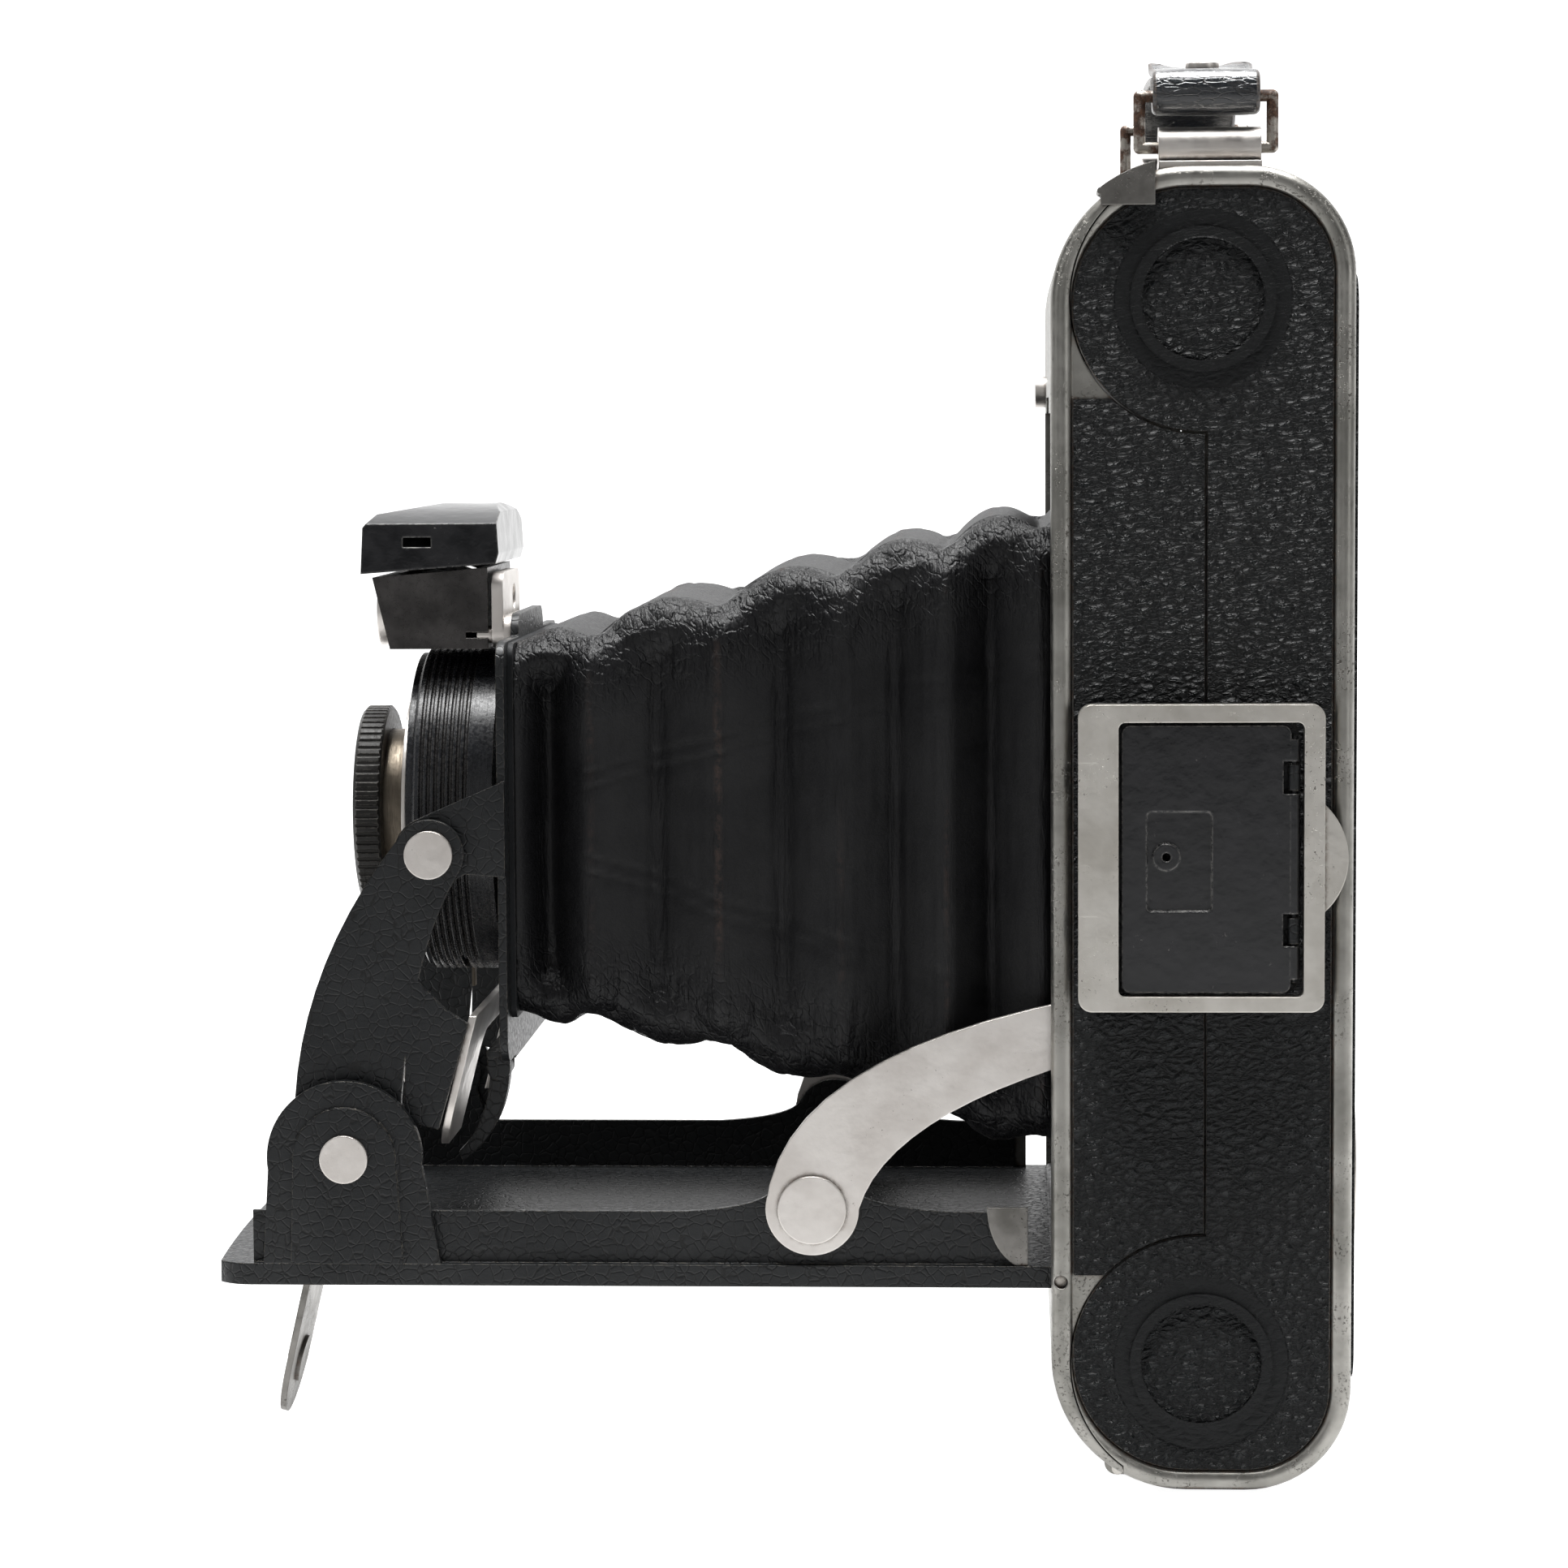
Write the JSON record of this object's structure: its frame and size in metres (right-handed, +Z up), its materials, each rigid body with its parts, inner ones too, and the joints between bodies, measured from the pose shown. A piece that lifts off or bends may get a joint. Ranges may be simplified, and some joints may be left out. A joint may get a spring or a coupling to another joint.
{
  "type": "folding camera",
  "caption": "Folding roll-film camera standing on end: drop bed, strut-braced lens standard, bellows, shutter, reflecting finder, hinged back and carrying strap.",
  "frame": {"origin": "middle of the flat lower end of the standing body", "axes": "+X from the lens towards the camera back, +Y across the body away from the sports finder, +Z up along the body"},
  "size_m": [0.1385, 0.0836, 0.1699],
  "materials": {
    "trim_metal": "worn nickel plate, satin with pits",
    "bright_metal": "satin nickel plate",
    "covering": "pebbled black leather",
    "crackle": "black crackle lacquer",
    "enamel": "glossy black enamel",
    "shutter_black": "satin black lacquer",
    "barrel_metal": "nickelled brass worn brown",
    "matt_black": "matt black paint",
    "roller_metal": "turned steel",
    "spool_wood": "painted spool",
    "bellows_leather": "thin wrinkled leather",
    "strap_leather": "cracked strap leather",
    "wire": "rusty wire",
    "lens_glass": "coated glass",
    "red_glass": "ruby window",
    "mirror": "silvered mirror"
  },
  "bodies": {
    "body": {"shell_near": "trim_metal", "shell_far": "trim_metal", "shell_low": "trim_metal", "shell_top": "trim_metal", "front_leather": "covering", "film_frame": "matt_black", "bellows_rear_frame": "matt_black", "bed_hinge_pin": "trim_metal", "back_hinge_pin": "trim_metal", "tripod_bush": "bright_metal", "sight_base": "crackle", "bellows": "bellows_leather"},
    "top_roller": {"roller_top": "roller_metal"},
    "bottom_roller": {"roller_bottom": "roller_metal"},
    "take_up": {"take_up_spool": "spool_wood"},
    "supply": {"supply_spool": "spool_wood"},
    "winder": {"winding_shaft": "bright_metal"},
    "key_wing": {"winding_key": "bright_metal"},
    "spool_knob": {"supply_pin": "bright_metal", "supply_knob": "bright_metal"},
    "button": {"door_button": "bright_metal"},
    "latch": {"back_latch": "trim_metal"},
    "rear_cover": {"back": "trim_metal", "back_leather": "covering", "pressure_plate": "matt_black", "red_window": "red_glass", "strap_clips": "bright_metal", "strap_rings": "wire", "strap": "strap_leather", "strap_studs": "bright_metal"},
    "cover_disc": {"window_cover": "bright_metal"},
    "drop_bed": {"bed": "crackle", "bed_brackets": "crackle", "bed_stops": "bright_metal", "arm_pins": "bright_metal", "strut_rivets": "bright_metal", "foot_bracket": "bright_metal"},
    "stand_foot": {"foot": "bright_metal"},
    "yoke": {"arms": "crackle", "cross_plate": "bright_metal", "board_pins": "bright_metal"},
    "struts": {"side_struts": "bright_metal"},
    "standard": {"lens_board": "crackle", "bellows_front_frame": "matt_black", "shutter_case": "shutter_black", "shutter_face": "shutter_black", "lens_barrel": "barrel_metal", "front_lens": "lens_glass", "rear_lens": "lens_glass", "finder_bracket": "bright_metal"},
    "focus": {"focus_ring": "barrel_metal"},
    "diaphragm": {"aperture_disc": "barrel_metal"},
    "cocking": {"cocking_lever": "bright_metal"},
    "release": {"release_lever": "bright_metal"},
    "upper_blade": {"blade_upper": "matt_black"},
    "lower_blade": {"blade_lower": "matt_black"},
    "finder": {"finder_body": "enamel", "finder_lens_ring": "bright_metal", "finder_lenses": "lens_glass", "finder_mirror": "mirror", "finder_hood": "enamel"},
    "catch": {"catch_lever": "crackle"},
    "front_sight": {"sport_frame": "trim_metal"},
    "sight_leaf": {"rear_sight": "enamel"}
  },
  "joints": [
    {"name": "bed_hinge", "type": "hinge", "parent": "body", "child": "drop_bed", "pos_m": [-0.0166, 0, 0.0252], "axis": [0, 1, 0], "range_deg": [0, 90], "deforming": ["bellows"]},
    {"name": "arm_swing", "type": "hinge", "parent": "drop_bed", "child": "yoke", "pos_m": [-0.1026, 0, 0.0392], "axis": [0, 1, 0], "range_deg": [0, 71.1]},
    {"name": "standard_swing", "type": "hinge", "parent": "yoke", "child": "standard", "pos_m": [-0.0922, 0, 0.0757], "axis": [0, 1, 0], "range_deg": [-161.1, 0]},
    {"name": "strut_swing", "type": "hinge", "parent": "drop_bed", "child": "struts", "pos_m": [-0.0463, 0, 0.0332], "axis": [0, 1, 0], "range_deg": [-116.1, 0]},
    {"name": "foot_hinge", "type": "hinge", "parent": "drop_bed", "child": "stand_foot", "pos_m": [-0.111, 0, 0.0225], "axis": [0, 1, 0], "range_deg": [-101, 0]},
    {"name": "back_hinge", "type": "hinge", "parent": "body", "child": "rear_cover", "pos_m": [-0.0098, 0, 0.0017], "axis": [0, 1, 0], "range_deg": [0, 100]},
    {"name": "latch_hinge", "type": "hinge", "parent": "body", "child": "latch", "pos_m": [-0.0119, -0.0355, 0.15365], "axis": [0, 1, 0], "range_deg": [-60, 0]},
    {"name": "door_button_press", "type": "slide", "parent": "body", "child": "button", "axis": [1, 0, 0], "range_m": [0, 0.001], "stiffness_N_per_m": 200},
    {"name": "top_roller_spin", "type": "hinge", "parent": "body", "child": "top_roller", "pos_m": [0.0112, 0, 0.1281], "axis": [0, 1, 0], "continuous": true},
    {"name": "bottom_roller_spin", "type": "hinge", "parent": "body", "child": "bottom_roller", "pos_m": [0.0112, 0, 0.0284], "axis": [0, 1, 0], "continuous": true},
    {"name": "winding", "type": "hinge", "parent": "body", "child": "winder", "pos_m": [0, 0.038, 0.1411], "axis": [0, 1, 0], "continuous": true},
    {"name": "take_up_spin", "type": "hinge", "parent": "body", "child": "take_up", "pos_m": [0, 0, 0.1411], "axis": [0, 1, 0], "continuous": true},
    {"name": "supply_spin", "type": "hinge", "parent": "body", "child": "supply", "pos_m": [0, 0, 0.0154], "axis": [0, 1, 0], "continuous": true},
    {"name": "key_fold", "type": "hinge", "parent": "winder", "child": "key_wing", "pos_m": [0, 0.041, 0.1411], "axis": [1, 0, 0], "range_deg": [-90, 0]},
    {"name": "supply_knob_pull", "type": "slide", "parent": "body", "child": "spool_knob", "axis": [0, 1, 0], "range_m": [0, 0.0035]},
    {"name": "cover_disc_turn", "type": "hinge", "parent": "rear_cover", "child": "cover_disc", "pos_m": [0.0183, -0.016, 0.0364], "axis": [1, 0, 0], "range_deg": [0, 90]},
    {"name": "focusing", "type": "hinge", "parent": "standard", "child": "focus", "pos_m": [-0.1027, 0, 0.0785], "axis": [1, 0, 0], "range_deg": [0, 180]},
    {"name": "aperture_setting", "type": "hinge", "parent": "standard", "child": "diaphragm", "pos_m": [-0.0912, 0, 0.0785], "axis": [1, 0, 0], "range_deg": [-22, 22]},
    {"name": "cocking", "type": "hinge", "parent": "standard", "child": "cocking", "pos_m": [-0.098, 0, 0.0785], "axis": [1, 0, 0], "range_deg": [0, 50]},
    {"name": "release", "type": "hinge", "parent": "standard", "child": "release", "pos_m": [-0.0978, -0.0136, 0.0671], "axis": [1, 0, 0], "range_deg": [-12, 0], "stiffness_Nm_per_rad": 0.02},
    {"name": "upper_blade_swing", "type": "hinge", "parent": "standard", "child": "upper_blade", "pos_m": [-0.0888, 0.0134, 0.0785], "axis": [1, 0, 0], "range_deg": [-28, 0]},
    {"name": "lower_blade_swing", "type": "hinge", "parent": "standard", "child": "lower_blade", "pos_m": [-0.0896, 0.0134, 0.0785], "axis": [1, 0, 0], "range_deg": [0, 28]},
    {"name": "finder_swivel", "type": "hinge", "parent": "standard", "child": "finder", "pos_m": [-0.0872, -0.011, 0.101], "axis": [1, 0, 0], "range_deg": [0, 90]},
    {"name": "catch_swing", "type": "hinge", "parent": "standard", "child": "catch", "pos_m": [-0.0854, -0.01875, 0.048], "axis": [0, 1, 0], "range_deg": [-25, 0]},
    {"name": "front_sight_hinge", "type": "hinge", "parent": "body", "child": "front_sight", "pos_m": [-0.0136, -0.0401, 0.076], "axis": [0, 0, 1], "range_deg": [-90, 0]},
    {"name": "rear_sight_hinge", "type": "hinge", "parent": "body", "child": "sight_leaf", "pos_m": [0.0106, -0.0402, 0.076], "axis": [0, 0, 1], "range_deg": [0, 90]}
  ],
  "couplings": [
    {"joint": "arm_swing", "follows": "bed_hinge", "ratio": 0.79},
    {"joint": "standard_swing", "follows": "bed_hinge", "ratio": -1.79},
    {"joint": "strut_swing", "follows": "bed_hinge", "ratio": -1.29},
    {"joint": "take_up_spin", "follows": "winding", "ratio": 1},
    {"joint": "upper_blade_swing", "follows": "release", "ratio": 2.3333},
    {"joint": "lower_blade_swing", "follows": "release", "ratio": -2.3333}
  ]
}
